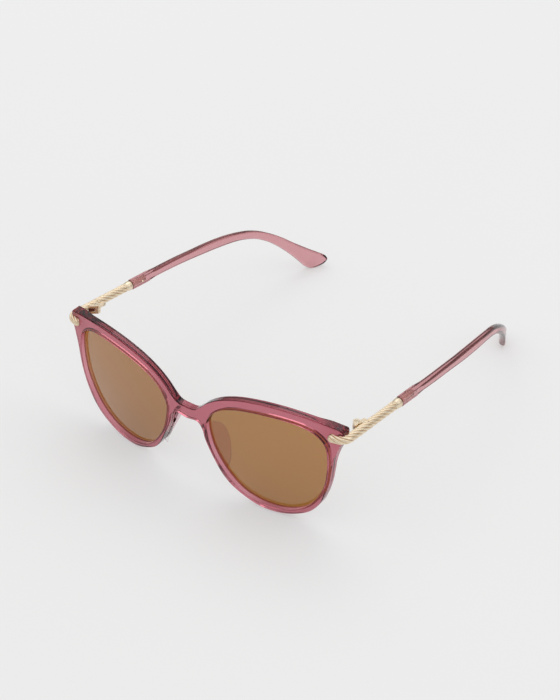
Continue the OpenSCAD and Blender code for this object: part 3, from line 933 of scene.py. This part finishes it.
def temple_outline():
    """Side outline of the sleeve and the temple in one, as (behind the bridge, up)."""
    slant = math.radians(DROOP)

    def placed(along, up):
        u = HINGE[1] - BRIDGE_Y + along * math.cos(slant) + up * math.sin(slant)
        return u, HINGE[2] - along * math.sin(slant) + up * math.cos(slant)

    half = SLEEVE_HEIGHT / 2
    stations = list(np.linspace(SLEEVE_START, SLEEVE_START + SLEEVE_LENGTH, 12))
    top = [placed(s, half) for s in stations]
    bottom = [placed(s, -half) for s in reversed(stations)]
    mouth = [placed(SLEEVE_START, -half + SLEEVE_HEIGHT * i / 5) for i in range(1, 5)]
    curve = closed_curve(TEMPLE)
    rest = [tuple(p) for p in curve if along_temple(*p) > SLEEVE_START + SLEEVE_LENGTH + 0.35]
    outline = np.array(top + rest + bottom + mouth)
    outline = soft_corner(outline, top[0], 0.7, 4)
    return soft_corner(outline, bottom[-1], 0.7, 4)


def temple_ease(loop):
    """The sleeve has tighter edges than the rest of the temple."""
    past = along_temple(loop[:, 0], loop[:, 1]) - SLEEVE_START - SLEEVE_LENGTH
    return 0.45 + 0.55 * smooth_step((past - 0.4) / 4)


def step_points():
    """Close points across the step between the sleeve and the rest of the temple."""
    slant = math.radians(DROOP)
    points = []
    for s in np.arange(-0.3, 0.75, 0.11):
        for up in np.arange(-2, 2.01, 0.4):
            along = SLEEVE_START + SLEEVE_LENGTH + s
            points.append((HINGE[1] - BRIDGE_Y + along * math.cos(slant) + up * math.sin(slant),
                           HINGE[2] - along * math.sin(slant) + up * math.cos(slant)))
    return np.array(points)


def add_temple(hand, side, material):
    sheet = Sheet(temple_place, lambda uv: 2 * temple_half(uv[:, 0], uv[:, 1]))
    shape = sheet_shape(sheet, temple_outline(), [], edge_profile(1.15, 1.15, steps=8), None, 1.6,
                        step_points(), temple_ease)
    add_shape("temple_" + side, "temple_tip_" + side, shape, material, hand)


# ---------------------------------------------------------------- materials

def new_material(name):
    """A material with its shader and output nodes."""
    material = bpy.data.materials.new(name)
    material.use_nodes = True
    nodes = material.node_tree.nodes
    shader = nodes.get("Principled BSDF")
    output = nodes.get("Material Output")
    if shader is None:
        shader = nodes.new("ShaderNodeBsdfPrincipled")
    if output is None:
        output = nodes.new("ShaderNodeOutputMaterial")
    material.node_tree.links.new(shader.outputs["BSDF"], output.inputs["Surface"])
    return material, shader, output


def noise(tree, scale, detail=3.0, stretch=(1, 1, 1)):
    """Noise in the object's own coordinates, with a scale in cells per metre."""
    coordinates = tree.nodes.new("ShaderNodeTexCoord")
    mapping = tree.nodes.new("ShaderNodeMapping")
    mapping.inputs["Scale"].default_value = stretch
    texture = tree.nodes.new("ShaderNodeTexNoise")
    texture.inputs["Scale"].default_value = scale
    texture.inputs["Detail"].default_value = detail
    tree.links.new(coordinates.outputs["Object"], mapping.inputs["Vector"])
    tree.links.new(mapping.outputs["Vector"], texture.inputs["Vector"])
    return texture.outputs["Fac"]


def spread_between(tree, value, low, high, start=0.3, end=0.7):
    """Stretches a value from one range to another."""
    span = tree.nodes.new("ShaderNodeMapRange")
    span.inputs["From Min"].default_value = start
    span.inputs["From Max"].default_value = end
    span.inputs["To Min"].default_value = low
    span.inputs["To Max"].default_value = high
    tree.links.new(value, span.inputs["Value"])
    return span.outputs["Result"]


def colours_between(tree, value, stops):
    """Colours that follow a value, by stops of (place, colour)."""
    ramp = tree.nodes.new("ShaderNodeValToRGB")
    elements = ramp.color_ramp.elements
    while len(elements) < len(stops):
        elements.new(0.5)
    for element, (place, colour) in zip(elements, stops):
        element.position = place
        element.color = (*colour, 1)
    tree.links.new(value, ramp.inputs["Fac"])
    return ramp.outputs["Color"]


def add_bump(tree, shader, height, strength, distance):
    bump = tree.nodes.new("ShaderNodeBump")
    bump.inputs["Strength"].default_value = strength
    bump.inputs["Distance"].default_value = distance
    tree.links.new(height, bump.inputs["Height"])
    tree.links.new(bump.outputs["Normal"], shader.inputs["Normal"])


def set_roughness(tree, shader, value, low, high):
    tree.links.new(spread_between(tree, value, low, high), shader.inputs["Roughness"])


def soak_light(tree, output, colour, density):
    """Absorbs light through the depth of a material."""
    soak = tree.nodes.new("ShaderNodeVolumeAbsorption")
    soak.inputs["Color"].default_value = (*colour, 1)
    soak.inputs["Density"].default_value = density
    tree.links.new(soak.outputs["Volume"], output.inputs["Volume"])


def clear_plastic(name, tint_a, tint_b, soak_colour, soak_density, bend, dull):
    """Polished see-through plastic, dyed through its depth, with faint polishing marks."""
    material, shader, output = new_material(name)
    tree = material.node_tree
    shader.inputs["Transmission Weight"].default_value = 1
    shader.inputs["IOR"].default_value = bend
    shader.inputs["Specular Tint"].default_value = (1, 0.55, 0.65, 1)
    cloudy = noise(tree, 120, 4)
    tree.links.new(colours_between(tree, cloudy, [(0.3, tint_a), (0.7, tint_b)]),
                   shader.inputs["Base Color"])
    polish = noise(tree, 900, 5, (1, 1, 0.35))
    set_roughness(tree, shader, polish, 0.015 + dull, 0.06 + dull)
    add_bump(tree, shader, noise(tree, 260, 2), 0.05, 0.00002)
    soak_light(tree, output, soak_colour, soak_density)
    return material


def lens_glass(name):
    """Bronze tinted lens with a thin mirror coating."""
    material, shader, output = new_material(name)
    tree = material.node_tree
    shader.inputs["Transmission Weight"].default_value = 1
    shader.inputs["IOR"].default_value = 1.5
    shader.inputs["Coat Weight"].default_value = 0.4
    shader.inputs["Coat Roughness"].default_value = 0.02
    shader.inputs["Coat IOR"].default_value = 1.7
    drift = noise(tree, 25, 2)
    tint = colours_between(tree, drift, [(0.3, (0.97, 0.95, 0.93)), (0.7, (1, 0.98, 0.95))])
    tree.links.new(tint, shader.inputs["Base Color"])
    set_roughness(tree, shader, noise(tree, 700, 4), 0.01, 0.03)
    soak_light(tree, output, (0.735, 0.49, 0.025), 2250)
    return material


def plated_rope(name):
    """Champagne plating, with painted shade that darkens the metal in the grooves between the
    strands.
    """
    material, shader, _ = new_material(name)
    tree = material.node_tree
    shader.inputs["Metallic"].default_value = 1
    groove = tree.nodes.new("ShaderNodeAttribute")
    groove.attribute_name = "groove"
    bright = colours_between(tree, noise(tree, 350, 3),
                             [(0.3, (0.82, 0.68, 0.49)), (0.7, (0.87, 0.74, 0.56))])
    # Painted shade: the colour is multiplied darker where a point lies deep in a groove
    painted_shade = colours_between(tree, groove.outputs["Fac"],
                           [(0.15, (1, 1, 1)), (0.9, (0.76, 0.65, 0.52))])
    mix = tree.nodes.new("ShaderNodeMix")
    mix.data_type = "RGBA"
    mix.blend_type = "MULTIPLY"
    mix.inputs["Factor"].default_value = 1
    tree.links.new(bright, mix.inputs["A"])
    tree.links.new(painted_shade, mix.inputs["B"])
    tree.links.new(mix.outputs["Result"], shader.inputs["Base Color"])
    set_roughness(tree, shader, noise(tree, 1800, 4), 0.26, 0.4)
    add_bump(tree, shader, noise(tree, 2600, 3), 0.12, 0.00003)
    return material


def plated_metal(name, light, deep, rough_low, rough_high):
    """Plated and brushed metal with slight colour drift."""
    material, shader, _ = new_material(name)
    tree = material.node_tree
    shader.inputs["Metallic"].default_value = 1
    tree.links.new(colours_between(tree, noise(tree, 500, 3), [(0.3, deep), (0.7, light)]),
                   shader.inputs["Base Color"])
    brushed = noise(tree, 3000, 4, (1, 0.15, 1))
    set_roughness(tree, shader, brushed, rough_low, rough_high)
    add_bump(tree, shader, brushed, 0.1, 0.00003)
    return material


def floor_material():
    """A matt pale sheet, lifted a little by its own light."""
    material, shader, _ = new_material("floor")
    tree = material.node_tree
    shader.inputs["Roughness"].default_value = 0.9
    shader.inputs["Specular IOR Level"].default_value = 0.0
    paper = colours_between(tree, noise(tree, 2, 2),
                            [(0.3, (0.44, 0.44, 0.44)), (0.7, (0.45, 0.45, 0.45))])
    tree.links.new(paper, shader.inputs["Base Color"])
    shader.inputs["Emission Color"].default_value = (1, 1, 1, 1)
    shader.inputs["Emission Strength"].default_value = 0.4
    return material


# ---------------------------------------------------------------- studio

def add_floor():
    mesh = bpy.data.meshes.new("floor")
    size = 4
    mesh.from_pydata([(-size, -size, 0), (size, -size, 0), (size, size, 0), (-size, size, 0)], [],
                     [(0, 1, 2, 3)])
    floor = bpy.data.objects.new("floor", mesh)
    mesh.materials.append(floor_material())
    bpy.context.scene.collection.objects.link(floor)
    floor.location.z = -0.0002


def add_world():
    """A grey room that is brightest overhead."""
    world = bpy.data.worlds.new("studio")
    bpy.context.scene.world = world
    world.use_nodes = True
    tree = world.node_tree
    back = tree.nodes.get("Background")
    if back is None:
        back = tree.nodes.new("ShaderNodeBackground")
        output = tree.nodes.new("ShaderNodeOutputWorld")
        tree.links.new(back.outputs["Background"], output.inputs["Surface"])
    coordinates = tree.nodes.new("ShaderNodeTexCoord")
    parts = tree.nodes.new("ShaderNodeSeparateXYZ")
    tree.links.new(coordinates.outputs["Generated"], parts.inputs["Vector"])
    height = spread_between(tree, parts.outputs["Z"], 0, 1, -1, 1)
    greys = [(0.0, 0.3), (0.5, 0.2), (0.58, 0.33), (0.7, 0.75), (1.0, 1.1)]
    sky = colours_between(tree, height, [(place, (grey, grey, grey)) for place, grey in greys])
    tree.links.new(sky, back.inputs["Color"])
    back.inputs["Strength"].default_value = 1.0


def add_softbox(name, place, target, size, energy):
    """A rectangular lamp that points at a target. Places are in metres."""
    light = bpy.data.lights.new(name, "AREA")
    light.shape = "RECTANGLE"
    light.size = size[0]
    light.size_y = size[1]
    light.energy = energy
    lamp = bpy.data.objects.new(name, light)
    lamp.location = place
    direction = Vector(target) - Vector(place)
    lamp.rotation_mode = "QUATERNION"
    lamp.rotation_quaternion = direction.to_track_quat("-Z", "Y")
    bpy.context.scene.collection.objects.link(lamp)


def add_camera():
    """Looks down at the front from the wearer's left, as a product photograph does."""
    scene = bpy.context.scene
    data = bpy.data.cameras.new("camera")
    data.lens = CAMERA_LENS
    data.sensor_width = CAMERA_SENSOR
    camera = bpy.data.objects.new("camera", data)
    scene.collection.objects.link(camera)
    right = CAMERA_RIGHT.normalized()
    ahead = CAMERA_AHEAD.normalized()
    up = right.cross(ahead)
    axes = Matrix((right, up, -ahead)).transposed()
    camera.matrix_world = Matrix.Translation(CAMERA_PLACE * MM) @ axes.to_4x4()
    data.clip_start = 0.01
    data.clip_end = 20
    scene.camera = camera
    scene.view_settings.view_transform = "Standard"


def build():
    """All the visible pieces, first the front and then each side."""
    rose = clear_plastic("rose_plastic", (0.88, 0.51, 0.58), (0.9, 0.54, 0.61),
                         soak_colour=(0.61, 0.08, 0.16), soak_density=300, bend=1.49, dull=0.02)
    thin_rose = clear_plastic("temple_plastic", (0.87, 0.51, 0.56), (0.89, 0.54, 0.59),
                              soak_colour=(0.55, 0.2, 0.15), soak_density=150, bend=1.49, dull=0.02)
    pale = clear_plastic("pale_plastic", (0.92, 0.76, 0.79), (0.94, 0.79, 0.82),
                         soak_colour=(0.6, 0.2, 0.3), soak_density=110, bend=1.24, dull=0.14)
    bronze = lens_glass("bronze_lens")
    rope = plated_rope("gold_rope")
    hinge = plated_metal("gold_hinge", (0.88, 0.75, 0.57), (0.82, 0.67, 0.48), 0.24, 0.4)
    satin = plated_metal("satin_gold", (0.99, 0.86, 0.76), (0.95, 0.8, 0.69), 0.5, 0.65)
    # Darker metal that paints shade on the hinge webs and at the mouth of each sleeve
    painted_shade_metal = plated_metal("painted_shade_copper", (0.2, 0.08, 0.055), (0.15, 0.06, 0.045), 0.35, 0.5)
    steel = plated_metal("screw_steel", (0.86, 0.76, 0.6), (0.72, 0.64, 0.52), 0.16, 0.3)
    add_front(rose)
    for side, hand in (("left", 1), ("right", -1)):
        add_lens(hand, side, bronze)
        add_pad(hand, side, pale)
        add_trim(hand, side, rope)
        add_trim_screw(hand, side, steel)
        add_front_hinge(hand, side, hinge, painted_shade_metal)
        add_hinge_screw(hand, side, steel)
        add_temple_hinge(hand, side, hinge)
        add_arm(hand, side, rope)
        add_ferrule(hand, side, rope)
        add_tang(hand, side, satin)
        add_shade_ring(hand, side, painted_shade_metal)
        add_temple(hand, side, thin_rose)
        add_tang_pin(hand, side, hinge)


build()
add_floor()
add_world()
add_softbox("key", (-0.5, 0.6, 1.1), (0, 0, 0.03), (0.9, 0.7), 2)
add_softbox("side", (0.9, 0.3, 0.6), (0, 0, 0.03), (0.5, 0.8), 1)
add_camera()
